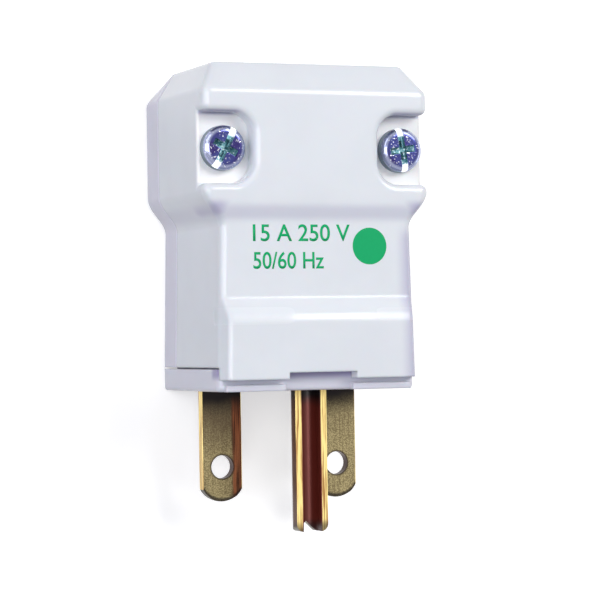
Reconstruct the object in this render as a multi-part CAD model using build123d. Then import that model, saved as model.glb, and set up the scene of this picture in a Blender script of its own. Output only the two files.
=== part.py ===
from build123d import *
import os

os.makedirs("parts", exist_ok=True)

# Sizes in mm. While modelling, X runs across the plug, Y from the plug face to the cord end and
# Z from the blade plane to the front. The origin is on the plug face, midway between the blades.

# Contacts
blade_spacing = 18.26
blade_width = 6.1
blade_thick = 1.52
blade_length = 16.4
blade_tip_height = 1.9
blade_tip_bevel = 0.45
blade_tip_run = 0.8
blade_hole_dia = 3.45
blade_hole_drop = 11.3
pin_offset = 11.9
pin_width = 4.8
pin_wall = 1.0
pin_lip = 1.3
pin_length = 20.4
pin_end_round = 1.1
pin_vee_height = 1.4
pin_vee_width = 2.6
pin_joint_height = 2.0
ground_tab_width = 6.4
shoulder_width = 1.1
shoulder_height = 8.0
tab_length = 6.4

# Housing, heights above the plug face
flange_height = 3.45
flare_height = 5.0
head_margin = 3.15
crown_height = 4.2
body_margin = 2.97
waist_taper = 0.45
head_overhang = 2.25
front_margin = 3.6
head_rise = 0.7
rear_depth = 8.3
parting_depth = 2.0
side_bevel = 2.65
front_bevel = 3.1
rear_bevel = 5.2
low_round = 1.15
head_round = 1.3
rear_round = 1.4
shoulder_round = 1.4
top_round = 1.0
wall = 1.5
seam_bevel = 0.2

# The sides and the front swell from the body to the head in S-curves of their own
flare_steps = 10
side_curve = 1.5
front_curve = 2.6
front_lead = 0.75

# Raised front panel, its skirt over the base and the lip below it
panel_inset = 0.9
panel_rise = 1.47
panel_top = 10.4
step_height = 2.9
step_round = 3.0
panel_round = 0.9
skirt_low = 1.65
skirt_thick = 2.3
notch_half_width = 5.2
notch_height = 2.6
lip_rise = 0.9
lip_gap = 0.7
flange_round = 0.9
foot_round = 0.5

# Assembly screws and their pockets
screw_inset = 3.7
screw_height = 34.5
screw_tip_gap = 1.0
screw_dia = 3.4
screw_head_dia = 6.4
screw_head_height = 2.0
screw_head_round = 1.0
slot_width = 1.0
slot_depth = 0.9
cross_span = 3.9
cross_depth = 1.6
left_slot_angle = 62
right_slot_angle = 99
pocket_depth = 2.9
pocket_width = 7.85
pocket_height = 10.1
pocket_round = 3.2
pocket_rim = 1.0
floor_round = 0.5
boss_wall = 1.5
insert_wall = 0.9
insert_length = 4.2
washer_wall = 1.1
washer_thick = 0.9

# Cord entry and clamp
cord_dia = 10.4
cord_centre = 4.5
tongue_drop = 3.0
jaw_height = 5.2
jaw_gap = 1.4
grip_ridge = 0.6
rib_thick = 1.2
rib_height = 2.0

# Base, retainer and terminals
base_height = 13.0
retainer_thick = 2.0
barrier_height = 7.5
barrier_thick = 1.2
lock_height = 6.0
lock_rib = 1.6
lock_depth = 1.0
lock_half_width = 8.0
plate_thick = 1.4
plate_size = 5.2
terminal_screw_dia = 3.0
terminal_head_dia = 5.2
terminal_head_height = 1.8
terminal_head_round = 0.5
terminal_slot_width = 0.8
terminal_slot_depth = 0.7
terminal_reach = 2.4

# Clearances
fit = 0.1
seam_gap = 0.25

# Positions that follow from the sizes
sides = (-1, 1)
half_blade = blade_thick / 2
blade_x = blade_spacing / 2
blade_inner = blade_x - blade_width / 2
blade_outer = blade_x + blade_width / 2
pin_radius = pin_width / 2
ground_tab_rear = pin_offset - pin_radius
ground_tab_front = ground_tab_rear + pin_wall
pin_joint = shoulder_height - pin_joint_height
low_half_width = blade_outer + body_margin
waist_half_width = low_half_width - waist_taper
head_half_width = low_half_width + head_overhang
panel_half_width = low_half_width - panel_inset
label_front = pin_offset + pin_lip + front_margin
head_front = label_front + head_rise
panel_front = label_front + panel_rise
base_front = panel_front - skirt_thick - fit
screw_x = head_half_width - screw_inset
pocket_inner = head_half_width - pocket_width
pocket_floor = head_front - pocket_depth
pocket_low = screw_height - pocket_height / 2
pocket_high = screw_height + pocket_height / 2
shoulder_line = pocket_high + head_margin
top_height = shoulder_line + crown_height
flare_high = pocket_low - pocket_rim - fit
flare_low = flare_high - flare_height
retainer_top = base_height + retainer_thick
tab_top = retainer_top + tab_length
terminal_y = retainer_top + tab_length / 2
inner_top = top_height - wall
inner_front = label_front - wall
inner_rear = wall - rear_depth
head_inner_front = head_front - wall
jaw_high = shoulder_line - wall - fit
jaw_low = jaw_high - jaw_height
jaw_half = pocket_inner - wall - fit
cord_radius = cord_dia / 2
screw_radius = screw_dia / 2
washer_radius = screw_radius + washer_wall
insert_radius = screw_radius + insert_wall
boss_radius = washer_radius + boss_wall
washer_high = washer_thick - parting_depth
insert_low = -parting_depth - insert_length
screw_length = pocket_floor - insert_low - screw_tip_gap
waist_draft = (low_half_width - waist_half_width) / (flare_low - flange_height)
block_half = low_half_width - waist_draft * (retainer_top - flange_height) - wall - fit
barrier_x = (ground_tab_width / 2 + blade_inner) / 2
beyond = 10


def block(x0, x1, y0, y1, z0, z1):
    return Pos((x0 + x1) / 2, (y0 + y1) / 2, (z0 + z1) / 2) * Box(abs(x1 - x0), y1 - y0, z1 - z0)


def rod(x, y, z0, z1, radius):
    return Pos(x, y, (z0 + z1) / 2) * Cylinder(radius, z1 - z0)


def cord_rod(radius, y0, y1):
    return Pos(0, (y0 + y1) / 2, cord_centre) * Rot(90, 0, 0) * Cylinder(radius, y1 - y0)


def front_prism(outline, z0, z1):
    return Pos(0, 0, z0) * extrude(outline, z1 - z0)


def side_prism(points, half):
    return extrude(Plane.YZ * make_face(Polyline(*points, close=True)), half, both=True)


def upright(outline, y0, y1):
    return extrude(Plane.XZ.offset(-y1) * outline, y1 - y0)


def corners(shape, axis, value):
    return shape.vertices().filter_by_position(axis, value - 0.01, value + 0.01)


def mirrored(points):
    return points + [(-x, y) for x, y in reversed(points)]


# Outer form of the closed housing, lofted through sections across the plug
def section(half, front, rear, corner):
    outline = make_face(Polyline((-half, rear), (half, rear), (half, front), (-half, front), close=True))
    outline = fillet(corners(outline, Axis.Y, front), corner)
    return fillet(corners(outline, Axis.Y, rear), rear_round)


def placed_section(y, half, front, rear, corner):
    return Plane.XZ.offset(-y) * section(half, front, rear, corner)


def s_curve(part, power):
    return part ** power / (part ** power + (1 - part) ** power)


def flare_section(step):
    part = step / flare_steps
    ease = s_curve(part, side_curve)
    half = waist_half_width + (head_half_width - waist_half_width) * ease
    corner = low_round + (head_round - low_round) * ease
    front = label_front + head_rise * s_curve(part ** front_lead, front_curve)
    return placed_section(flare_low + flare_height * part, half, front, -rear_depth, corner)


low_section = placed_section(flange_height, low_half_width, label_front, -rear_depth, low_round)
head_section = placed_section(shoulder_line, head_half_width, head_front, -rear_depth, head_round)
top_section = placed_section(
    top_height, head_half_width - side_bevel, head_front - front_bevel, rear_bevel - rear_depth, head_round)
flare_sections = [flare_section(step) for step in range(flare_steps + 1)]
form = loft([low_section, flare_sections[0]], ruled=True)
form += loft(flare_sections)
form += loft([flare_sections[-1], head_section], ruled=True)
form += loft([head_section, top_section], ruled=True)
shoulder = form.edges().filter_by_position(Axis.Y, shoulder_line - 0.01, shoulder_line + 0.01)
form = fillet(shoulder, shoulder_round)
form = fillet(form.faces().sort_by(Axis.Y)[-1].edges(), top_round)

# Screw pockets, open to the sides, with a rounded rim
for side in sides:
    floor = Pos(side * (pocket_inner + beyond), screw_height) * Rectangle(2 * beyond, pocket_height)
    floor = fillet(corners(floor, Axis.X, side * pocket_inner), pocket_round)
    form -= front_prism(floor, pocket_floor, pocket_floor + beyond)
    on_side = form.edges().filter_by(lambda edge: edge.center().X * side > 0)
    in_pocket = on_side.filter_by_position(Axis.Y, pocket_low - 0.01, pocket_high + 0.01)
    in_pocket = in_pocket.filter_by_position(Axis.Z, pocket_floor - 0.01, head_front + 0.01)
    in_pocket = in_pocket.filter_by(lambda edge: edge.center().Z > pocket_floor + 0.01)
    inner_runs = in_pocket.filter_by(Axis.Z)
    inner_runs = inner_runs.filter_by(lambda edge: abs(edge.center().X) < head_half_width - 0.01)
    form = fillet([edge for edge in in_pocket if edge not in inner_runs], pocket_rim)
    outside = side * head_half_width
    floor_rim = form.edges().filter_by_position(Axis.X, outside - 0.01, outside + 0.01)
    floor_rim = floor_rim.filter_by_position(Axis.Z, pocket_floor - 0.01, pocket_floor + 0.01)
    form = fillet(floor_rim, floor_round)

# Hollow inside, with walls left around the pockets and the screw bosses
hollow_side = [
    (low_half_width - wall, 0),
    (low_half_width - wall, flange_height),
    (waist_half_width - wall, flare_low),
    (head_half_width - wall, flare_high),
    (head_half_width - wall, shoulder_line - wall),
    (head_half_width - side_bevel - wall, inner_top),
]
hollow = front_prism(make_face(Polyline(*mirrored(hollow_side), close=True)), -rear_depth, head_front)
hollow &= side_prism([
    (0, inner_rear),
    (0, inner_front),
    (flare_low, inner_front),
    (flare_high, head_inner_front),
    (shoulder_line - wall, head_inner_front),
    (inner_top, head_inner_front - front_bevel),
    (inner_top, inner_rear + rear_bevel),
    (shoulder_line - wall, inner_rear),
], head_half_width)
for side in sides:
    hollow -= block(
        side * (pocket_inner - wall), side * (head_half_width + wall),
        pocket_low - wall, pocket_high + wall, pocket_floor - wall, head_front)
    hollow -= rod(side * screw_x, screw_height, -rear_depth, head_front, boss_radius)

# Front housing
reach = head_half_width + beyond
front_housing = form & block(-reach, reach, 0, top_height + beyond, -parting_depth, panel_front)
seam = front_housing.faces().sort_by(Axis.Z)[0].edges()
front_housing = chamfer(seam.filter_by(lambda edge: edge.center().Y > flange_height + 0.01), seam_bevel)
front_housing -= hollow
panel_run = step_height / panel_rise
panel_end = panel_top + panel_run * (panel_front - base_front - fit)
panel_outline = make_face(Polyline(
    (skirt_low, base_front + fit),
    (skirt_low, panel_front),
    (panel_top, panel_front),
    (panel_end, base_front + fit),
    close=True))
panel_outline = fillet(corners(panel_outline, Axis.X, panel_top), step_round)


def panel_section(y):
    half = low_half_width - waist_draft * (y - flange_height)
    sides_at = mirrored([(half, label_front - low_round), (half - panel_inset, panel_front)])
    return Plane.XZ.offset(-y) * make_face(Polyline(*sides_at, close=True))


panel = extrude(Plane.YZ * panel_outline, low_half_width, both=True)
panel &= loft([panel_section(skirt_low), panel_section(panel_end)], ruled=True)
panel_sides = panel.edges().filter_by(lambda edge: edge.center().Z > base_front + fit + 0.01)
panel_sides = panel_sides.filter_by(lambda edge: abs(edge.center().X) > notch_half_width)
panel = fillet(panel_sides.filter_by(lambda edge: edge.center().Y > skirt_low + 0.01), panel_round)
front_housing += panel
front_housing -= block(
    -notch_half_width, notch_half_width, 0, notch_height, base_front - wall, panel_front + beyond)
front_housing += block(
    -lock_half_width, lock_half_width, lock_height, lock_height + lock_rib,
    inner_front - lock_depth, inner_front + wall / 2)
front_housing += block(
    -jaw_half, jaw_half, jaw_low - fit - rib_thick, jaw_low - fit,
    head_inner_front - rib_height, head_inner_front + wall / 2)
front_housing -= block(
    -cord_radius, cord_radius, inner_top - wall, top_height + wall, -parting_depth, cord_centre)
front_housing -= cord_rod(cord_radius, inner_top - wall, top_height + wall)
for side in sides:
    front_housing -= rod(side * screw_x, screw_height, -parting_depth, pocket_floor, screw_radius + fit)
    front_housing -= rod(
        side * screw_x, screw_height, -parting_depth, washer_high + fit, washer_radius + fit)

# Rear housing, with the tongue that closes the cord entry
rear_housing = form & block(-reach, reach, 0, top_height + beyond, -rear_depth, -parting_depth)
seam = rear_housing.faces().sort_by(Axis.Z)[-1].edges()
rear_housing = chamfer(seam.filter_by(lambda edge: edge.center().Y > flange_height + 0.01), seam_bevel)
rear_housing -= hollow
tongue = block(
    fit - cord_radius, cord_radius - fit, inner_top, top_height - seam_bevel,
    -parting_depth - wall / 2, cord_centre - tongue_drop)
rear_housing += tongue - cord_rod(cord_radius, inner_top - wall, top_height + wall)
rear_housing += block(
    -lock_half_width, lock_half_width, lock_height, lock_height + lock_rib,
    inner_rear - wall / 2, inner_rear + lock_depth)
rear_housing += block(
    -jaw_half, jaw_half, jaw_low - fit - rib_thick, jaw_low - fit,
    inner_rear - wall / 2, inner_rear + rib_height)
for side in sides:
    rear_housing += block(
        side * (jaw_half + fit), side * (jaw_half + fit + rib_thick), jaw_low, jaw_high,
        inner_rear - wall / 2, inner_rear + rib_height)
    rear_housing -= rod(
        side * screw_x, screw_height, insert_low - fit, -parting_depth, insert_radius + fit)

# Cord clamp jaws
grip = cord_rod(cord_radius - grip_ridge, jaw_low, jaw_high)
ridge_pitch = jaw_height / 5
for turn in (1, 3):
    grip += cord_rod(cord_radius, jaw_low + turn * ridge_pitch, jaw_low + (turn + 1) * ridge_pitch)
front_jaw = block(
    -jaw_half, jaw_half, jaw_low, jaw_high, cord_centre + jaw_gap / 2, head_inner_front - fit) - grip
rear_jaw = block(
    -jaw_half, jaw_half, jaw_low, jaw_high, inner_rear + fit, cord_centre - jaw_gap / 2) - grip


# Ground pin: a folded channel open to the front, closed at the joint below its flat tab
def pin_outline(radius, lip):
    back = ThreePointArc((-radius, pin_offset), (0, pin_offset - radius), (radius, pin_offset))
    front = Polyline(
        (radius, pin_offset), (radius, pin_offset + lip), (-radius, pin_offset + lip), (-radius, pin_offset))
    return make_face(back + front)


pin_end = Pos(0, -pin_length / 2) * Rectangle(pin_width, pin_length)
pin_end = fillet(corners(pin_end, Axis.Y, -pin_length), pin_end_round)
pin_end -= make_face(Polyline(
    (-pin_vee_width / 2, -pin_length),
    (pin_vee_width / 2, -pin_length),
    (0, pin_vee_height - pin_length),
    close=True))
channel = pin_outline(pin_radius, pin_lip) - pin_outline(pin_radius - pin_wall, pin_lip + pin_wall)
ground_pin = upright(channel, -pin_length, 0) & front_prism(pin_end, 0, pin_offset + beyond)
ground_pin += upright(channel, 0, pin_joint)
ground_pin += upright(pin_outline(pin_radius, pin_lip), pin_joint, shoulder_height)
ground_pin += block(
    -ground_tab_width / 2, ground_tab_width / 2, shoulder_height, tab_top, ground_tab_rear, ground_tab_front)
ground_pin -= rod(0, terminal_y, ground_tab_rear, ground_tab_front, terminal_screw_dia / 2 + fit)


# Blades: a rounded, bevelled tip with a hole, a shoulder inside the base and a terminal tab
def blade(side):
    tip = ThreePointArc(
        (-blade_width / 2, blade_tip_height - blade_length), (0, -blade_length),
        (blade_width / 2, blade_tip_height - blade_length))
    rest = Polyline(
        (blade_width / 2, blade_tip_height - blade_length), (blade_width / 2, tab_top),
        (-blade_width / 2, tab_top), (-blade_width / 2, base_height),
        (-blade_width / 2 - shoulder_width, base_height),
        (-blade_width / 2 - shoulder_width, shoulder_height),
        (-blade_width / 2, shoulder_height), (-blade_width / 2, blade_tip_height - blade_length))
    outline = make_face(tip + rest)
    outline -= Pos(0, -blade_hole_drop) * Circle(blade_hole_dia / 2)
    outline -= Pos(0, terminal_y) * Circle(terminal_screw_dia / 2 + fit)
    strip = front_prism(outline, -half_blade, half_blade)
    strip &= side_prism([
        (tab_top, -half_blade),
        (tab_top, half_blade),
        (blade_tip_run - blade_length, half_blade),
        (-blade_length, half_blade - blade_tip_bevel),
        (-blade_length, blade_tip_bevel - half_blade),
        (blade_tip_run - blade_length, -half_blade),
    ], blade_width)
    if side < 0:
        strip = mirror(strip, about=Plane.YZ)
    return Pos(side * blade_x, 0, 0) * strip


left_blade = blade(-1)
right_blade = blade(1)

# Contact base: flange, front lip and a block with slots for the contacts
flange = section(low_half_width, base_front, -rear_depth, flange_round)
contact_base = upright(flange, 0, flange_height - seam_gap)
contact_base = fillet(contact_base.faces().sort_by(Axis.Y)[0].edges(), foot_round)
contact_base += block(-block_half, block_half, fit, base_height, inner_rear + fit, inner_front - fit)
for side in sides:
    contact_base += block(
        side * notch_half_width, side * panel_half_width, 0, skirt_low - lip_gap,
        base_front - foot_round - fit, base_front + lip_rise)
groove_low = lock_height - fit
groove_high = lock_height + lock_rib + fit
contact_base -= block(
    -block_half, block_half, groove_low, groove_high, inner_front - lock_depth - fit, inner_front)
contact_base -= block(
    -block_half, block_half, groove_low, groove_high, inner_rear, inner_rear + lock_depth + fit)
pin_slot = upright(pin_outline(pin_radius + fit, pin_lip + fit), 0, shoulder_height)
pin_slot -= upright(
    pin_outline(pin_radius - pin_wall - fit, pin_lip + pin_wall), 0, pin_joint - fit)
contact_base -= pin_slot
contact_base -= block(
    -ground_tab_width / 2 - fit, ground_tab_width / 2 + fit, shoulder_height - fit, base_height,
    ground_tab_rear - fit, ground_tab_front + fit)
for side in sides:
    contact_base -= block(
        side * (blade_inner - fit), side * (blade_outer + fit), 0, base_height,
        -half_blade - fit, half_blade + fit)
    contact_base -= block(
        side * (blade_inner - shoulder_width - fit), side * blade_x, shoulder_height - fit, base_height,
        -half_blade - fit, half_blade + fit)

# Contact retainer: closes the slots from above and keeps the terminals apart
contact_retainer = block(
    -block_half, block_half, base_height, retainer_top, inner_rear + fit, inner_front - fit)
for side in sides:
    contact_retainer -= block(
        side * (blade_inner - fit), side * (blade_outer + fit), base_height, retainer_top,
        -half_blade - fit, half_blade + fit)
    contact_retainer += block(
        side * (barrier_x - barrier_thick / 2), side * (barrier_x + barrier_thick / 2),
        base_height, retainer_top + barrier_height, inner_rear + fit, inner_front - fit)
contact_retainer -= block(
    -ground_tab_width / 2 - fit, ground_tab_width / 2 + fit, base_height, retainer_top,
    ground_tab_rear - fit, ground_tab_front + fit)


# Terminal clamping plates and screws
def terminal_plate(x, z):
    plate = block(
        x - plate_size / 2, x + plate_size / 2, terminal_y - plate_size / 2, terminal_y + plate_size / 2,
        z, z + plate_thick)
    return plate - rod(x, terminal_y, z, z + plate_thick, terminal_screw_dia / 2 + fit)


def terminal_screw(x, z, tab_thick):
    seat = z + plate_thick
    crown = seat + terminal_head_height
    head = rod(x, terminal_y, seat, crown, terminal_head_dia / 2)
    head = fillet(head.faces().sort_by(Axis.Z)[-1].edges(), terminal_head_round)
    head -= block(
        x - terminal_head_dia, x + terminal_head_dia,
        terminal_y - terminal_slot_width / 2, terminal_y + terminal_slot_width / 2,
        crown - terminal_slot_depth, crown + fit)
    return head + rod(x, terminal_y, z - tab_thick - terminal_reach, seat, terminal_screw_dia / 2)


# Assembly screws with a combined slot and cross recess, their washers and inserts
def assembly_screw(side, angle):
    head = rod(0, 0, 0, screw_head_height, screw_head_dia / 2)
    head = fillet(head.faces().sort_by(Axis.Z)[-1].edges(), screw_head_round)
    head -= block(
        -screw_head_dia, screw_head_dia, -slot_width / 2, slot_width / 2,
        screw_head_height - slot_depth, screw_head_height + fit)
    mouth = Pos(0, 0, screw_head_height) * Rectangle(cross_span, slot_width)
    bottom = Pos(0, 0, screw_head_height - cross_depth) * Rectangle(cross_span / 2, slot_width / 2)
    wing = loft([mouth, bottom], ruled=True)
    head -= wing
    head -= Rot(0, 0, 90) * wing
    screw = head + rod(0, 0, -screw_length, 0, screw_radius)
    return Pos(side * screw_x, screw_height, pocket_floor) * Rot(0, 0, angle) * screw


def ring(side, z0, z1, radius):
    outer = rod(side * screw_x, screw_height, z0, z1, radius)
    return outer - rod(side * screw_x, screw_height, z0, z1, screw_radius + fit)


nodes = {
    "front_housing": front_housing,
    "rear_housing": rear_housing,
    "contact_base": contact_base,
    "contact_retainer": contact_retainer,
    "left_blade": left_blade,
    "right_blade": right_blade,
    "ground_pin": ground_pin,
    "left_terminal_plate": terminal_plate(-blade_x, half_blade),
    "right_terminal_plate": terminal_plate(blade_x, half_blade),
    "ground_terminal_plate": terminal_plate(0, ground_tab_front),
    "left_terminal_screw": terminal_screw(-blade_x, half_blade, blade_thick),
    "right_terminal_screw": terminal_screw(blade_x, half_blade, blade_thick),
    "ground_terminal_screw": terminal_screw(0, ground_tab_front, pin_wall),
    "left_assembly_screw": assembly_screw(-1, left_slot_angle),
    "right_assembly_screw": assembly_screw(1, right_slot_angle),
    "left_screw_washer": ring(-1, -parting_depth, washer_high, washer_radius),
    "right_screw_washer": ring(1, -parting_depth, washer_high, washer_radius),
    "left_screw_insert": ring(-1, insert_low, -parting_depth, insert_radius),
    "right_screw_insert": ring(1, insert_low, -parting_depth, insert_radius),
    "front_cord_jaw": front_jaw,
    "rear_cord_jaw": rear_jaw,
}

# The plug lies on its rear face, its length centred on the origin
place = Pos(0, (pin_length - top_height) / 2, rear_depth)
for name, shape in nodes.items():
    export_step(place * shape, f"parts/{name}.step")
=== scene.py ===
import math

import bmesh
import bpy
from mathutils import Matrix, Vector


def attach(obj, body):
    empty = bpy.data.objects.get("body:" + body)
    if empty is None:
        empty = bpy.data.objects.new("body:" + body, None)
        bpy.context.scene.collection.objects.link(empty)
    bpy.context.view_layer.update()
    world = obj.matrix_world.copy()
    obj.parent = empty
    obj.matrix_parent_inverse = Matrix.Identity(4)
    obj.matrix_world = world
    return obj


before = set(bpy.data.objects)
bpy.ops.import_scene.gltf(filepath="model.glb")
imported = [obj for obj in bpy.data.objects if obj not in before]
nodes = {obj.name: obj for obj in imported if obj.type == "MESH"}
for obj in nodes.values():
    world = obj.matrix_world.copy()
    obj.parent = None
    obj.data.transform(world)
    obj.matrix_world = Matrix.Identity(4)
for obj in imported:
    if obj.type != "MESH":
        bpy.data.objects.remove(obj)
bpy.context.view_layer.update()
scene = bpy.context.scene
scene.view_settings.view_transform = "Standard"
mm = 0.001  # the frame is in metres
print("frame loaded:", len(nodes), "solids")


class Wire:  # a socket that can be used in sums
    def __init__(self, tree, socket=None):
        self.tree = tree
        self.socket = socket

    def node(self, kind, settings=None, inputs=None, out=0):
        made = self.tree.nodes.new(kind)
        for key, value in (settings or {}).items():
            setattr(made, key, value)
        for key, value in (inputs or {}).items():
            if isinstance(value, Wire):
                self.tree.links.new(value.socket, made.inputs[key])
            else:
                made.inputs[key].default_value = value
        return Wire(self.tree, made.outputs[out] if made.outputs else None)

    def tap(self, name):  # another output of the same node
        return Wire(self.tree, self.socket.node.outputs[name])

    def maths(self, operation, *values):
        return self.node("ShaderNodeMath", {"operation": operation}, dict(enumerate(values)))

    def __add__(self, other):
        return self.maths("ADD", self, other)

    def __sub__(self, other):
        return self.maths("SUBTRACT", self, other)

    def __rsub__(self, other):
        return self.maths("SUBTRACT", other, self)

    def __mul__(self, other):
        return self.maths("MULTIPLY", self, other)

    __radd__ = __add__
    __rmul__ = __mul__


def inMm(*values):
    return tuple(value * mm for value in values)


def reach(name, axis):  # where a solid begins and ends along x, y or z
    values = [getattr(vertex.co, axis) for vertex in nodes[name].data.vertices]
    return min(values), max(values)


def colour(red, green, blue):  # a screen colour, 0 to 255, as Blender's linear one
    def linear(value):
        value = value / 255
        return value / 12.92 if value <= 0.04045 else ((value + 0.055) / 1.055) ** 2.4
    return (linear(red), linear(green), linear(blue), 1.0)


def darker(shade, share):
    return tuple(part * share for part in shade[:3]) + (1.0,)


def addObject(name, data):
    made = bpy.data.objects.new(name, data)
    scene.collection.objects.link(made)
    return made


def addMesh(name, shape):
    mesh = bpy.data.meshes.new(name)
    shape.to_mesh(mesh)
    shape.free()
    return addObject(name, mesh)


def newMaterial(name):
    material = bpy.data.materials.new(name)
    material.use_nodes = True
    material.node_tree.nodes.clear()
    return material, Wire(material.node_tree)


def surface(wire, inputs):
    shader = wire.node("ShaderNodeBsdfPrincipled", None, inputs)
    wire.node("ShaderNodeOutputMaterial", None, {"Surface": shader})


def place(wire):
    return wire.node("ShaderNodeTexCoord", None, None, "Object")


def axesOf(wire, spot):
    axes = wire.node("ShaderNodeSeparateXYZ", None, {0: spot})
    return [axes.tap(letter) for letter in "XYZ"]


def radial(wire, first, second):  # distance from an axis, from two offsets
    return wire.maths("SQRT", first * first + second * second)


def stretch(wire, spot, scale):
    return wire.node("ShaderNodeMapping", None, {"Vector": spot, "Scale": scale})


def noise(wire, vector, scale, detail=2.0, rough=0.5):
    return wire.node("ShaderNodeTexNoise", None, {
        "Vector": vector, "Scale": scale, "Detail": detail, "Roughness": rough})


def ease(wire, value, low, high):  # 0 below low, 1 above high, smooth between
    return wire.node("ShaderNodeMapRange", {"interpolation_type": "SMOOTHSTEP"}, {
        "Value": value, "From Min": low, "From Max": high, "To Min": 0.0, "To Max": 1.0})


def within(wire, value, start, full, fade, end):  # 1 from full to fade, 0 before start and after end
    return ease(wire, value, start, full) * (1 - ease(wire, value, fade, end))


def mix(wire, factor, first, second):
    inputs = {0: factor, 6: first, 7: second}  # 6, 7 and output 2 are the colour sockets
    return wire.node("ShaderNodeMix", {"data_type": "RGBA"}, inputs, 2)


def bump(wire, height, distance, strength=1.0, normal=None):
    inputs = {"Height": height, "Distance": distance, "Strength": strength}
    if normal:
        inputs["Normal"] = normal
    return wire.node("ShaderNodeBump", None, inputs)


def softEdge(wire, radius):
    return wire.node("ShaderNodeBevel", {"samples": 6}, {"Radius": radius})


def dress(material, *names):
    for name in names:
        mesh = nodes[name].data
        mesh.materials.clear()
        mesh.materials.append(material)


# White moulded nylon
nylonLook = {
    "front": colour(236, 240, 246),
    # painted shade: the rear and base colours are darker, more lilac copies of the front's white
    "rear": colour(228, 226, 241),
    "base": colour(229, 229, 242),
    # white paints a highlight on the pocket floors, lilac paints shade in hollows and edges
    "white": colour(254, 254, 255),
    "lilac": colour(176, 170, 206),
    "cloudScale": 120,
    "cloudEase": (0.35, 0.65),
    "cloudShade": 0.975,
    "roughLow": 0.14,
    "roughSpread": 0.06,
    "edge": 0.5 * mm,
    "rippleScale": 210,
    "ripple": 0.010 * mm,
    "grainScale": 5200,
    "grain": 0.0016 * mm,
    "grainStrength": 0.6,
    "ior": 1.53,
    "depthWeight": 0.12,
    "depth": 0.6 * mm,
}
pocketLook = {
    "side": 9.6 * mm,  # from the plug's middle
    "low": 16.2 * mm,
    "high": 26.3 * mm,
    "floor": 22.9 * mm,  # over the rear face
    "sideSoft": 0.4 * mm,
    "endSoft": 0.3 * mm,
    "nearFloor": inMm(0.1, 0.4),
    "upperWall": inMm(-0.5, -0.05, 0.1, 0.5),  # from the high end
    "wallAcross": inMm(1.5, 3.0, 7.4, 7.6),  # from the side
    "wallFront": inMm(-0.2, 0.0),  # from the floor
    "wallShade": 0.55,
}


def pocketPaintedLight(wire, spot, tint):  # painted highlight on the screw pockets' floors, painted shade on their lilac upper walls
    x, along, front = axesOf(wire, spot)
    across = wire.maths("ABSOLUTE", x)
    side, low, high, floor = [pocketLook[key] for key in ("side", "low", "high", "floor")]
    soft = pocketLook["endSoft"]
    inside = within(wire, along, low, low + soft, high - soft, high)
    inside = inside * ease(wire, across, side, side + pocketLook["sideSoft"])
    offFloor = wire.maths("ABSOLUTE", front - floor)
    floorHighlight = inside * (1 - ease(wire, offFloor, *pocketLook["nearFloor"]))
    # painted highlight: the pocket floors turn white
    tint = mix(wire, floorHighlight, tint, nylonLook["white"])
    # painted shade: the upper walls turn lilac
    wall = within(wire, along - high, *pocketLook["upperWall"])
    wall = wall * within(wire, across - side, *pocketLook["wallAcross"])
    wall = wall * ease(wire, front - floor, *pocketLook["wallFront"])
    return mix(wire, wall * pocketLook["wallShade"], tint, nylonLook["lilac"])


bendShadeLook = {
    "along": inMm(10.4, 11.8, 12.4, 13.8),
    "tint": 0.28,
    "cornerUp": 0.5 * mm,
    "cornerAcross": inMm(12.8, 15.4, 15.6, 17.2),
    "cornerFront": inMm(15, 20),
    "cornerTint": 0.7,
}


def bendPaintedShade(wire, spot, tint):  # painted shade: lilac in the hollow below the head, deeper at its corners
    x, along, front = axesOf(wire, spot)
    band = within(wire, along, *bendShadeLook["along"]) * bendShadeLook["tint"]
    corner = within(wire, along - bendShadeLook["cornerUp"], *bendShadeLook["along"])
    corner = corner * within(wire, wire.maths("ABSOLUTE", x), *bendShadeLook["cornerAcross"])
    corner = corner * ease(wire, front, *bendShadeLook["cornerFront"]) * bendShadeLook["cornerTint"]
    return mix(wire, wire.maths("MAXIMUM", band, corner), tint, nylonLook["lilac"])


rightEdgeShadeLook = {
    "across": inMm(11.9, 14.5),
    "front": inMm(23, 24.4),
    "upperEnd": inMm(8, 11),
    "tint": 0.62,
}


def rightEdgePaintedShade(wire, spot, tint):  # painted shade: the right front edge turns lilac as it rounds off
    across, along, front = axesOf(wire, spot)
    shade = ease(wire, across, *rightEdgeShadeLook["across"]) * ease(wire, front, *rightEdgeShadeLook["front"])
    shade = shade * (1 - ease(wire, along, *rightEdgeShadeLook["upperEnd"]))
    return mix(wire, shade * rightEdgeShadeLook["tint"], tint, nylonLook["lilac"])


underPanelShadowLook = {
    "shade": colour(126, 110, 176),
    "along": inMm(-11.9, -10.8),
    "front": inMm(21, 22.5),
    "tint": 0.7,
}


def underPanelShadow(wire, spot, tint):  # painted shadow: dark lilac where the base goes under the front panel
    along, front = axesOf(wire, spot)[1:]
    shade = ease(wire, along, *underPanelShadowLook["along"]) * ease(wire, front, *underPanelShadowLook["front"])
    return mix(wire, shade * underPanelShadowLook["tint"], tint, underPanelShadowLook["shade"])


shoulderLook = {
    "along": inMm(-4.3, -3.0, -1.9, -1.0),
    "front": inMm(22, 22.8),
    "leftEnd": inMm(-6, -3),
    "rightEnd": inMm(6, 10),
    "rightShare": 0.5,
    "addedRough": 0.3,
}


def dullShoulder(wire, spot):  # the panel's upper edge shines only in the middle
    across, along, front = axesOf(wire, spot)
    near = within(wire, along, *shoulderLook["along"]) * ease(wire, front, *shoulderLook["front"])
    left = 1 - ease(wire, across, *shoulderLook["leftEnd"])
    right = ease(wire, across, *shoulderLook["rightEnd"]) * shoulderLook["rightShare"]
    return near * (left + right) * shoulderLook["addedRough"]


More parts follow.
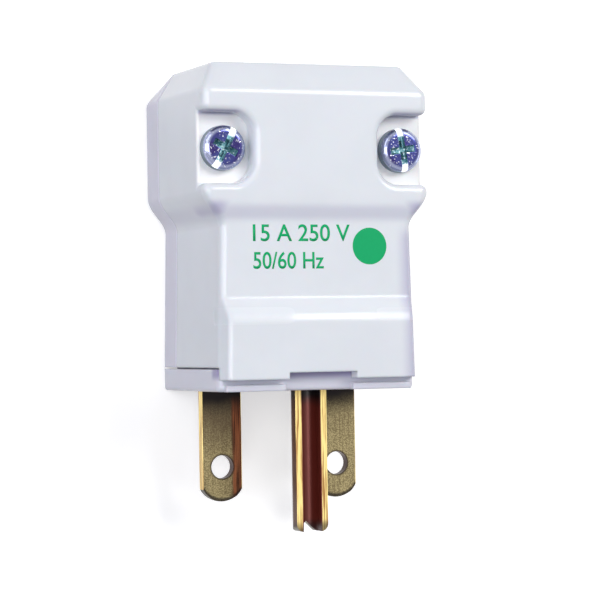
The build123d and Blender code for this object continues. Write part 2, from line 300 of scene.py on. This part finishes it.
def nylon(name, shade, paintedLight=(), dull=None):
    material, wire = newMaterial(name)
    spot = place(wire)
    look = nylonLook
    clouds = noise(wire, spot, look["cloudScale"], detail=3)
    tint = mix(wire, ease(wire, clouds, *look["cloudEase"]), shade, darker(shade, look["cloudShade"]))
    # painted highlights and shades laid over the colour
    for tinting in paintedLight:
        tint = tinting(wire, spot, tint)
    rough = clouds * look["roughSpread"] + look["roughLow"]
    if dull:
        rough = rough + dull(wire, spot)
    ripples = noise(wire, spot, look["rippleScale"], detail=1)
    wavy = bump(wire, ripples, look["ripple"], normal=softEdge(wire, look["edge"]))
    grain = noise(wire, spot, look["grainScale"])
    fine = bump(wire, grain, look["grain"], look["grainStrength"], wavy)
    surface(wire, {
        "Base Color": tint, "Roughness": rough, "Normal": fine, "IOR": look["ior"],
        "Subsurface Weight": look["depthWeight"], "Subsurface Scale": look["depth"]})
    return material


frontPaintedLight = (pocketPaintedLight, bendPaintedShade, rightEdgePaintedShade)
dress(nylon("nylonFront", nylonLook["front"], frontPaintedLight, dullShoulder), "front_housing")
# the rear and base nylon carry painted shade in their colours
dress(nylon("nylonRearShaded", nylonLook["rear"]), "rear_housing")
dress(nylon("nylonBaseShaded", nylonLook["base"], (underPanelShadow,)), "contact_base")
print("nylon shells dressed")

# Rolled brass of the contacts, with painted shade near the plug face
brassLook = {
    "bright": colour(170, 156, 114),
    "olive": colour(114, 101, 72),
    "gold": colour(255, 230, 150),
    "deepGold": colour(158, 100, 48),
    "dim": colour(88, 73, 58),
    "brown": colour(156, 92, 60),
    "rust": colour(78, 41, 29),
    "wall": colour(62, 38, 30),
    "mahogany": colour(114, 47, 37),
    "black": colour(33, 29, 30),
    "drawn": (1.0, 0.03, 1.0),  # streaks run lengthwise
    "streakScale": 4200,
    "streakRough": 0.6,
    "speckScale": 5600,
    "speckRough": 0.7,
    "patchScale": 240,
    "streakShare": 0.25,
    "grainEase": (0.42, 0.6),
    "goldStreaks": (0.4, 0.56),
    "roughLow": 0.22,
    "roughSpread": 0.24,
    "relief": 0.006 * mm,
    "reliefStrength": 0.5,
    "edge": 0.12 * mm,
    "face": reach("contact_base", "y")[0],
    "faceShadeFull": 0.5 * mm,
    "faceShadeWander": 2.4 * mm,
}


class Strip:  # coordinates and grain that every brass piece shares
    def __init__(self, name):
        self.material, self.wire = newMaterial(name)
        wire, look = self.wire, brassLook
        spot = place(wire)
        self.across, self.along, self.front = axesOf(wire, spot)
        drawn = stretch(wire, spot, look["drawn"])
        self.streaks = noise(wire, drawn, look["streakScale"], detail=3, rough=look["streakRough"])
        self.specks = noise(wire, spot, look["speckScale"], detail=3, rough=look["speckRough"])
        self.patches = noise(wire, spot, look["patchScale"], detail=3)
        grain = self.streaks * look["streakShare"] + self.specks * (1 - look["streakShare"])
        self.metal = mix(wire, ease(wire, grain, *look["grainEase"]), look["olive"], look["bright"])

    def tint(self, factor, shade):
        self.metal = mix(self.wire, factor, self.metal, shade)

    def wander(self, value, amount):  # makes a straight border ragged
        return value + (self.patches - 0.5) * amount

    def faceShade(self, run):  # painted shade standing in for the dark reflection under the body: 1 at the plug face, 0 a run below it
        face = brassLook["face"]
        ragged = self.wander(self.along, brassLook["faceShadeWander"])
        return ease(self.wire, ragged, face - run, face - brassLook["faceShadeFull"])

    def highlightGold(self, lines):  # painted highlight: bright gold edges with lengthwise lines
        dark = (1 - ease(self.wire, self.streaks, *brassLook["goldStreaks"])) * lines
        return mix(self.wire, dark, brassLook["gold"], brassLook["deepGold"])

    def finish(self, metallic=1.0):
        wire, look = self.wire, brassLook
        rough = self.specks * look["roughSpread"] + look["roughLow"]
        soft = softEdge(wire, look["edge"])
        normal = bump(wire, self.specks, look["relief"], look["reliefStrength"], soft)
        surface(wire, {
            "Base Color": self.metal, "Metallic": metallic, "Roughness": rough, "Normal": normal})
        return self.material


bladeLook = {
    "outerSide": reach("right_blade", "x")[1],
    "half": 3.05 * mm,
    "sideBand": inMm(-0.06, -0.03),  # from the side inwards
    "sideLines": 0.8,
    "end": reach("right_blade", "y")[0],
    "tipRadius": 3.4 * mm,
    "tipBand": inMm(0.3, 0.75),  # from the curved end up
    "tipTint": 0.85,
    "holeY": -24.55 * mm,
    "holeRim": 1.78 * mm,
    "rimBand": inMm(0.0, 0.28),  # from the rim outwards
    "rimTint": 0.8,
    "wallBand": inMm(-0.04, -0.02),
    "faceShadeRun": 4.5 * mm,
    "dimAlong": inMm(-24, -17),
    "dimWander": 5 * mm,
    "brownAcross": inMm(-7.8, -7.3),
    "brownWander": 0.4 * mm,
    "brownStreaks": (0.36, 0.58),
    "brownTint": 0.9,
    "metallic": 0.86,
}


def brownSide(strip):  # the left blade's side next to the pin is browner than the rest
    wire, look = strip.wire, bladeLook
    streaks = ease(wire, strip.streaks, *look["brownStreaks"])
    ragged = strip.wander(strip.across, look["brownWander"])
    shade = mix(wire, streaks, brassLook["rust"], brassLook["brown"])
    strip.tint(ease(wire, ragged, *look["brownAcross"]) * look["brownTint"], shade)


def bladeBrass(name, side, dimTint, brown=False):
    strip = Strip(name)
    wire, along, look, black = strip.wire, strip.along, bladeLook, brassLook["black"]
    off = strip.across - side * (look["outerSide"] - look["half"])  # from the blade's middle
    # painted shade: the blade turns dimmer towards the plug face
    dim = ease(wire, strip.wander(along, look["dimWander"]), *look["dimAlong"])
    strip.tint(dim * dimTint, brassLook["dim"])
    if brown:
        brownSide(strip)
    strip.tint(strip.faceShade(look["faceShadeRun"]), black)
    arc = look["tipRadius"]
    rise = wire.maths("SQRT", wire.maths("MAXIMUM", arc * arc - off * off, 0.0))
    fromTip = along + rise - (look["end"] + arc)  # height over the curved end
    strip.tint((1 - ease(wire, fromTip, *look["tipBand"])) * look["tipTint"], black)
    # painted shade around the blade's hole and on its wall
    fromRim = radial(wire, off, along - look["holeY"]) - look["holeRim"]
    strip.tint((1 - ease(wire, fromRim, *look["rimBand"])) * look["rimTint"], black)
    strip.tint(1 - ease(wire, fromRim, *look["wallBand"]), brassLook["wall"])
    fromSide = wire.maths("ABSOLUTE", off) - look["half"]
    strip.tint(ease(wire, fromSide, *look["sideBand"]), strip.highlightGold(look["sideLines"]))
    return strip.finish(look["metallic"])


pinLook = {
    "axis": 20.2 * mm,
    "inner": 1.5 * mm,
    "innerSoft": inMm(-0.04, 0.04),
    "innerFaceShade": 3.0 * mm,
    "innerDull": 0.6,
    "outer": 2.28 * mm,
    "outerSoft": inMm(0.0, 0.06),
    "outerFaceShade": 1.2 * mm,
    "outerTint": 0.95,
    "legFront": reach("ground_pin", "z")[1],
    "legSoft": inMm(-0.09, -0.06),  # just behind the legs' front
    "legLines": 0.9,
    "legDull": 0.4,
    "end": reach("ground_pin", "y")[0],
    "endDarkBand": inMm(0.3, 1.6),  # from the end up
    "endDarkWander": 2 * mm,
    "endDarkTint": 0.75,
}


def pinBrass(name):
    strip = Strip(name)
    wire, look, black = strip.wire, pinLook, brassLook["black"]
    behind = wire.maths("MINIMUM", strip.front - look["axis"], 0.0)
    fromAxis = radial(wire, strip.across, behind)
    outside = ease(wire, fromAxis - look["outer"], *look["outerSoft"])
    strip.tint(outside * look["outerTint"], brassLook["rust"])
    strip.tint(strip.faceShade(look["outerFaceShade"]), black)
    legs = ease(wire, strip.front - look["legFront"], *look["legSoft"])
    strip.tint(legs, strip.highlightGold(look["legLines"]))
    inside = 1 - ease(wire, fromAxis - look["inner"], *look["innerSoft"])
    strip.tint(inside, brassLook["mahogany"])
    strip.tint(inside * strip.faceShade(look["innerFaceShade"]), black)
    # darker towards the pin's end
    fromEnd = strip.wander(strip.along, look["endDarkWander"]) - look["end"]
    strip.tint((1 - ease(wire, fromEnd, *look["endDarkBand"])) * look["endDarkTint"], black)
    return strip.finish(1 - inside * look["innerDull"] - legs * (1 - inside) * look["legDull"])


dress(bladeBrass("brassLeft", -1, dimTint=0.7, brown=True), "left_blade")
dress(bladeBrass("brassRight", 1, dimTint=0.2), "right_blade")
dress(pinBrass("brassPin"), "ground_pin")
plates = ("left_terminal_plate", "right_terminal_plate", "ground_terminal_plate")
dress(Strip("brassPlate").finish(), *plates)

# Bright zinc plate of the assembly screws
# painted reflection: navy and purple stand in for dark surroundings reflected in the zinc; the pale ring,
# white glints and white slot ends are painted highlights, and the teal and dark pits in the slot are
# painted reflection and shade
zincLook = {
    "navy": colour(70, 76, 136),
    "purple": colour(62, 54, 112),
    "ring": colour(176, 182, 208),
    "grey": colour(124, 136, 148),
    "teal": colour(112, 160, 168),
    "pit": colour(40, 52, 78),
    "white": colour(250, 251, 255),
    "centre": inMm(13.7, 21.25),
    "headTop": reach("right_assembly_screw", "z")[1],
    "headRadius": 3.2 * mm,
    "patchScale": 420,
    "patchEase": (0.4, 0.7),
    "speckScale": 3000,
    "speckRough": 0.6,
    "glints": (0.58, 0.7),
    "ringBand": inMm(-0.9, -0.5),  # bands go from the head's rim inwards
    "ringTint": 0.7,
    "domeBand": inMm(-1.0, 0.1),
    "domeDrop": 0.75 * mm,
    "rimBand": inMm(-0.06, -0.02),
    "cutDepth": inMm(0.08, 0.16),
    "cutGlints": (0.52, 0.68),
    "cutPits": (0.34, 0.44),
    "cutEnds": inMm(1.9, 2.2),  # from the screw's axis
    "roughLow": 0.08,
    "roughSpread": 0.16,
    "cutRough": 0.3,
    "relief": 0.012 * mm,
    "reliefStrength": 0.6,
    "edge": 0.10 * mm,
}


def zinc(name, side):
    material, wire = newMaterial(name)
    spot = place(wire)
    look = zincLook
    x, y, z = axesOf(wire, spot)
    middleX, middleY = look["centre"]
    fromAxis = radial(wire, x - side * middleX, y - middleY)
    fromRim = fromAxis - look["headRadius"]
    patches = noise(wire, spot, look["patchScale"])
    specks = noise(wire, spot, look["speckScale"], detail=3, rough=look["speckRough"])
    metal = mix(wire, ease(wire, patches, *look["patchEase"]), look["navy"], look["purple"])
    metal = mix(wire, ease(wire, fromRim, *look["ringBand"]) * look["ringTint"], metal, look["ring"])
    metal = mix(wire, ease(wire, specks, *look["glints"]), metal, look["white"])
    dome = ease(wire, fromRim, *look["domeBand"]) * look["domeDrop"]
    cut = ease(wire, look["headTop"] - z - dome, *look["cutDepth"])  # slot and cross
    bits = mix(wire, ease(wire, specks, *look["cutGlints"]), look["teal"], look["white"])
    bits = mix(wire, 1 - ease(wire, specks, *look["cutPits"]), bits, look["pit"])
    bits = mix(wire, ease(wire, fromAxis, *look["cutEnds"]), bits, look["white"])
    metal = mix(wire, cut, metal, bits)
    metal = mix(wire, ease(wire, fromRim, *look["rimBand"]), metal, look["grey"])
    rough = specks * look["roughSpread"] + cut * look["cutRough"] + look["roughLow"]
    soft = softEdge(wire, look["edge"])
    normal = bump(wire, specks, look["relief"], look["reliefStrength"], soft)
    surface(wire, {"Base Color": metal, "Metallic": 1.0, "Roughness": rough, "Normal": normal})
    return material


dress(zinc("zincLeft", -1), "left_assembly_screw")
dress(zinc("zincRight", 1), "right_assembly_screw")

# Pieces inside the housing
innerLook = {
    "grey": colour(214, 214, 210),
    "fibre": colour(78, 66, 58),
    "cloudScale": 300,
    "cloudShade": 0.88,
    "grainScale": 4000,
    "grainStrength": 0.6,
    "turned": colour(214, 184, 112),
    "green": colour(46, 138, 84),
    "lineScale": 900,
    "lineStretch": (1, 1, 6),
    "lineShade": 0.7,
    "lineStrength": 0.5,
    "relief": 0.004 * mm,
    "roughSpread": 0.2,
}


def plainPlastic(name, shade, roughLow):
    material, wire = newMaterial(name)
    spot = place(wire)
    look = innerLook
    clouds = noise(wire, spot, look["cloudScale"], detail=3)
    grain = noise(wire, spot, look["grainScale"])
    surface(wire, {
        "Base Color": mix(wire, clouds, shade, darker(shade, look["cloudShade"])),
        "Roughness": clouds * look["roughSpread"] + roughLow,
        "Normal": bump(wire, grain, look["relief"], look["grainStrength"])})
    return material


def turnedMetal(name, shade, roughLow):
    material, wire = newMaterial(name)
    look = innerLook
    turning = stretch(wire, place(wire), look["lineStretch"])
    lines = noise(wire, turning, look["lineScale"], detail=3)
    surface(wire, {
        "Base Color": mix(wire, lines, shade, darker(shade, look["lineShade"])),
        "Metallic": 1.0,
        "Roughness": lines * look["roughSpread"] + roughLow,
        "Normal": bump(wire, lines, look["relief"], look["lineStrength"])})
    return material


innerNylon = plainPlastic("innerNylon", innerLook["grey"], roughLow=0.4)
fibreWasher = plainPlastic("fibreWasher", innerLook["fibre"], roughLow=0.6)
turnedBrass = turnedMetal("turnedBrass", innerLook["turned"], roughLow=0.2)
greenScrew = turnedMetal("greenScrew", innerLook["green"], roughLow=0.3)
dress(innerNylon, "contact_retainer", "front_cord_jaw", "rear_cord_jaw")
dress(greenScrew, "ground_terminal_screw")
for side in ("left", "right"):
    dress(fibreWasher, side + "_screw_washer")
    dress(turnedBrass, side + "_terminal_screw", side + "_screw_insert")
print("contacts, screws and inner pieces dressed")

# Green print on the front: a dot and two lines of rating figures
printLook = {
    "ink": colour(0, 178, 108),
    "patchScale": 1800,
    "patchShade": 0.8,
    "patchTint": 0.5,
    "roughLow": 0.3,
    "roughSpread": 0.15,
    "ior": 1.3,
    "grainScale": 5000,
    "grain": 0.002 * mm,
    "grainStrength": 0.5,
    "front": 25.1 * mm,
    "film": 0.02 * mm,
    "sunkShare": 0.25,  # of the film, so that no gap shows
    "dotPlace": inMm(8.05, 7.3),
    "dotRadius": 2.65 * mm,
    "dotSides": 96,
    "capHeight": 2.43 * mm,
    "left": -9.92 * mm,
    "lines": [  # words, foot and width
        ("15 A 250 V", 7.98 * mm, 14.9 * mm),
        ("50/60 Hz", 4.07 * mm, 10.8 * mm),
    ],
    "boldness": 0.010,  # in the type's own units
    "weld": 0.0001 * mm,
}


def greenInk():
    material, wire = newMaterial("greenInk")
    spot = place(wire)
    look = printLook
    patchy = noise(wire, spot, look["patchScale"], detail=3)
    grain = noise(wire, spot, look["grainScale"])
    thin = darker(look["ink"], look["patchShade"])
    surface(wire, {
        "Base Color": mix(wire, patchy * look["patchTint"], look["ink"], thin),
        "Roughness": patchy * look["roughSpread"] + look["roughLow"],
        "IOR": look["ior"],
        "Normal": bump(wire, grain, look["grain"], look["grainStrength"])})
    return material


def lineMesh(words, foot, width):
    letters = bpy.data.curves.new("printLine", "FONT")
    letters.body = words
    letters.offset = printLook["boldness"]
    holder = addObject("printLine", letters)
    bpy.context.view_layer.update()
    settled = holder.evaluated_get(bpy.context.evaluated_depsgraph_get())
    mesh = bpy.data.meshes.new_from_object(settled)
    bpy.data.objects.remove(holder)
    xs = [vertex.co.x for vertex in mesh.vertices]
    ys = [vertex.co.y for vertex in mesh.vertices]
    lowX, lowY = min(xs), min(ys)
    across = width / (max(xs) - lowX)
    up = printLook["capHeight"] / (max(ys) - lowY)
    for vertex in mesh.vertices:
        x, y = vertex.co.x - lowX, vertex.co.y - lowY
        vertex.co = (printLook["left"] + x * across, foot + y * up, 0)
    return mesh


def makePrint():
    shape = bmesh.new()
    for words, foot, width in printLook["lines"]:
        shape.from_mesh(lineMesh(words, foot, width))
    dotPlace = Matrix.Translation((*printLook["dotPlace"], 0))
    bmesh.ops.create_circle(shape, cap_ends=True, segments=printLook["dotSides"],
                            radius=printLook["dotRadius"], matrix=dotPlace)
    bmesh.ops.remove_doubles(shape, verts=shape.verts, dist=printLook["weld"])
    film = printLook["film"]
    for vertex in shape.verts:
        vertex.co.z = printLook["front"] - film * printLook["sunkShare"]
    raised = bmesh.ops.extrude_face_region(shape, geom=shape.faces[:])["geom"]
    for vertex in raised:
        if isinstance(vertex, bmesh.types.BMVert):
            vertex.co.z += film
    bmesh.ops.recalc_face_normals(shape, faces=shape.faces)
    piece = addMesh("front_print", shape)
    piece.data.materials.append(greenInk())
    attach(piece, "root")


makePrint()
print("print laid on the front")

# Floor and soft studio light
studio = {
    "floor": colour(250, 250, 250),
    "floorHalf": 6.0,
    "floorDrop": 0.1 * mm,
    "bounce": colour(90, 90, 96),
    "lift": 0.44,
    "world": colour(228, 230, 250),
    "worldLevel": 0.12,
    "backdrop": colour(255, 255, 255),
    "backdropLevel": 1.0,
    "lamps": [  # name, place, size, power, colour
        ("keyBox", (0.36, 0.33, 0.60), (0.34, 0.34), 3.0, (1.0, 0.995, 0.97)),
        ("eyeBox", (-0.36, 0.05, 0.66), (0.26, 0.42), 1.4, (0.98, 0.98, 1.0)),
        ("leftBox", (-0.62, 0.05, 0.30), (0.35, 0.55), 1.55, (0.93, 0.95, 1.0)),
        ("cornerBox", (-0.50, 0.42, 0.34), (0.40, 0.40), 0.85, (0.94, 0.95, 1.0)),
        ("faceBox", (0.10, -0.70, 0.14), (0.50, 0.24), 0.35, (0.97, 0.98, 1.0)),
        ("rightBox", (0.72, 0.0, 0.14), (0.50, 0.24), 0.6, (0.97, 0.98, 1.0)),
    ],
    "aim": Vector((0.0, 0.005, 0.012)),
}


def backdropRays(wire):  # rays that see the backdrop: the camera's and those by way of metal or glass
    path = wire.node("ShaderNodeLightPath", None, None, "Is Camera Ray")
    seen = wire.maths("MAXIMUM", path, path.tap("Is Glossy Ray"))
    return wire.maths("MAXIMUM", seen, path.tap("Is Transmission Ray"))


def paleFloor():
    material, wire = newMaterial("paleFloor")
    seen = backdropRays(wire)
    shade = mix(wire, seen, studio["bounce"], studio["floor"])
    matte = wire.node("ShaderNodeBsdfDiffuse", None, {"Color": shade})
    black = wire.node("ShaderNodeEmission", None, {"Strength": 0.0})
    white = wire.node("ShaderNodeEmission", None, {"Strength": studio["lift"]})
    glow = wire.node("ShaderNodeMixShader", None, {0: seen, 1: black, 2: white})
    blend = wire.node("ShaderNodeAddShader", None, {0: matte, 1: glow})
    wire.node("ShaderNodeOutputMaterial", None, {"Surface": blend})
    return material


def makeFloor():
    shape = bmesh.new()
    bmesh.ops.create_grid(shape, x_segments=1, y_segments=1, size=studio["floorHalf"])
    bmesh.ops.translate(shape, verts=shape.verts, vec=(0, 0, -studio["floorDrop"]))
    floor = addMesh("floor", shape)
    floor.data.materials.append(paleFloor())


def makeWorld():
    world = bpy.data.worlds.new("studioWorld")
    scene.world = world
    world.use_nodes = True
    world.node_tree.nodes.clear()
    wire = Wire(world.node_tree)

    def glow(shade, level):
        return wire.node("ShaderNodeBackground", None, {"Color": studio[shade], "Strength": studio[level]})

    blend = wire.node("ShaderNodeMixShader", None, {
        0: backdropRays(wire), 1: glow("world", "worldLevel"), 2: glow("backdrop", "backdropLevel")})
    wire.node("ShaderNodeOutputWorld", None, {"Surface": blend})


def makeLamps():
    for name, spot, size, power, tint in studio["lamps"]:
        lamp = bpy.data.lights.new(name, "AREA")
        lamp.shape = "RECTANGLE"
        lamp.size, lamp.size_y = size
        lamp.energy = power
        lamp.color = tint
        holder = addObject(name, lamp)
        holder.location = spot
        holder.rotation_euler = (studio["aim"] - Vector(spot)).to_track_quat("-Z", "Y").to_euler()
        holder.visible_camera = False


makeFloor()
makeWorld()
makeLamps()
print("floor and lamps placed")

# Camera at the photograph's angle
shot = {
    "turn": math.radians(22.02),
    "tilt": math.radians(-1.07),
    "roll": math.radians(0.94),
    "distance": 364.84 * mm,
    "target": Vector(inMm(1.93, 0.62, 11.3)),
    "lens": 150.21,
    "sensor": 36.0,
    "nearest": 0.01,
}


def makeCamera():
    turn, tilt, roll = shot["turn"], shot["tilt"], shot["roll"]
    back = Vector((-math.sin(turn) * math.cos(tilt), math.sin(tilt), math.cos(turn) * math.cos(tilt)))
    right = Vector((math.cos(turn), 0, math.sin(turn)))
    up = back.cross(right)
    rolledRight = math.cos(roll) * right - math.sin(roll) * up
    rolledUp = math.sin(roll) * right + math.cos(roll) * up
    data = bpy.data.cameras.new("shot")
    data.lens = shot["lens"]
    data.sensor_width = shot["sensor"]
    data.clip_start = shot["nearest"]
    camera = addObject("shot", data)
    eye = shot["target"] + back * shot["distance"]
    turned = Matrix((rolledRight, rolledUp, back)).transposed().to_4x4()
    camera.matrix_world = Matrix.Translation(eye) @ turned
    scene.camera = camera


makeCamera()
print("camera set")
